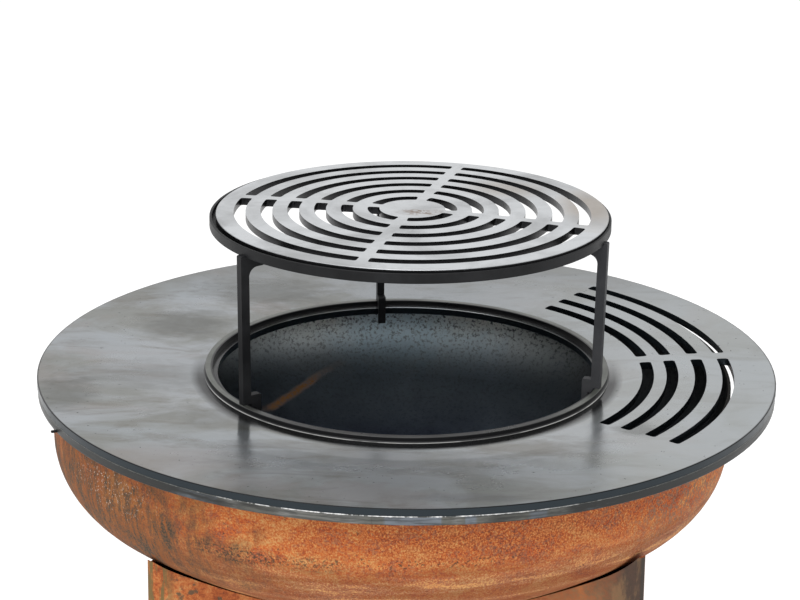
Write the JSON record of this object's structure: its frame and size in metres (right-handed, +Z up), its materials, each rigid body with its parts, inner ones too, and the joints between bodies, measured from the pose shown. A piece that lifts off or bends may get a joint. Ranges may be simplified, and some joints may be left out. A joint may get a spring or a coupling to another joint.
{
  "type": "fire bowl grill",
  "caption": "Round outdoor fire bowl grill: square folded steel pedestal, dished bowl, round cooking plate with arc slots and a collared opening, and a stand with a slotted grate over it.",
  "frame": {"origin": "on the ground under the middle of the round cooking plate", "axes": "+Z up, +X to the right and +Y away when seen from the front, where the joint in the plate's skirt is"},
  "size_m": [0.9999, 1, 1.1755],
  "materials": {
    "bright_steel": "satin, bare, with light heat marks",
    "plate_steel": "bare hot-rolled steel, oiled and smudged",
    "dark_steel": "satin black, heat darkened",
    "rusted_steel": "matte orange-brown rust patina with dark mottling",
    "foot_steel": "matte dark steel"
  },
  "bodies": {
    "base": {"base_panel_front": "rusted_steel", "base_panel_rear": "rusted_steel", "base_panel_left": "rusted_steel", "base_panel_right": "rusted_steel", "base_strap_front_left": "rusted_steel", "base_strap_front_right": "rusted_steel", "base_strap_rear_left": "rusted_steel", "base_strap_rear_right": "rusted_steel", "base_floor": "rusted_steel", "base_foot_front_left": "foot_steel", "base_foot_front_right": "foot_steel", "base_foot_rear_left": "foot_steel", "base_foot_rear_right": "foot_steel", "bowl": "rusted_steel"},
    "plate": {"cooking_plate": "plate_steel", "plate_collar": "dark_steel", "plate_skirt": "plate_steel", "skirt_tab": "dark_steel"},
    "stand": {"stand_hoop": "dark_steel", "stand_leg_left": "dark_steel", "stand_leg_right": "dark_steel", "stand_leg_rear": "dark_steel"},
    "grate": {"grate": "bright_steel"}
  },
  "joints": [
    {"name": "plate_lift", "type": "slide", "parent": "base", "child": "plate", "axis": [0, 0, 1], "range_m": [0, 0.3]},
    {"name": "stand_lift", "type": "slide", "parent": "plate", "child": "stand", "axis": [0, 0, 1], "range_m": [0, 0.3]},
    {"name": "grate_lift", "type": "slide", "parent": "stand", "child": "grate", "axis": [0, 0, 1], "range_m": [0, 0.1]}
  ]
}
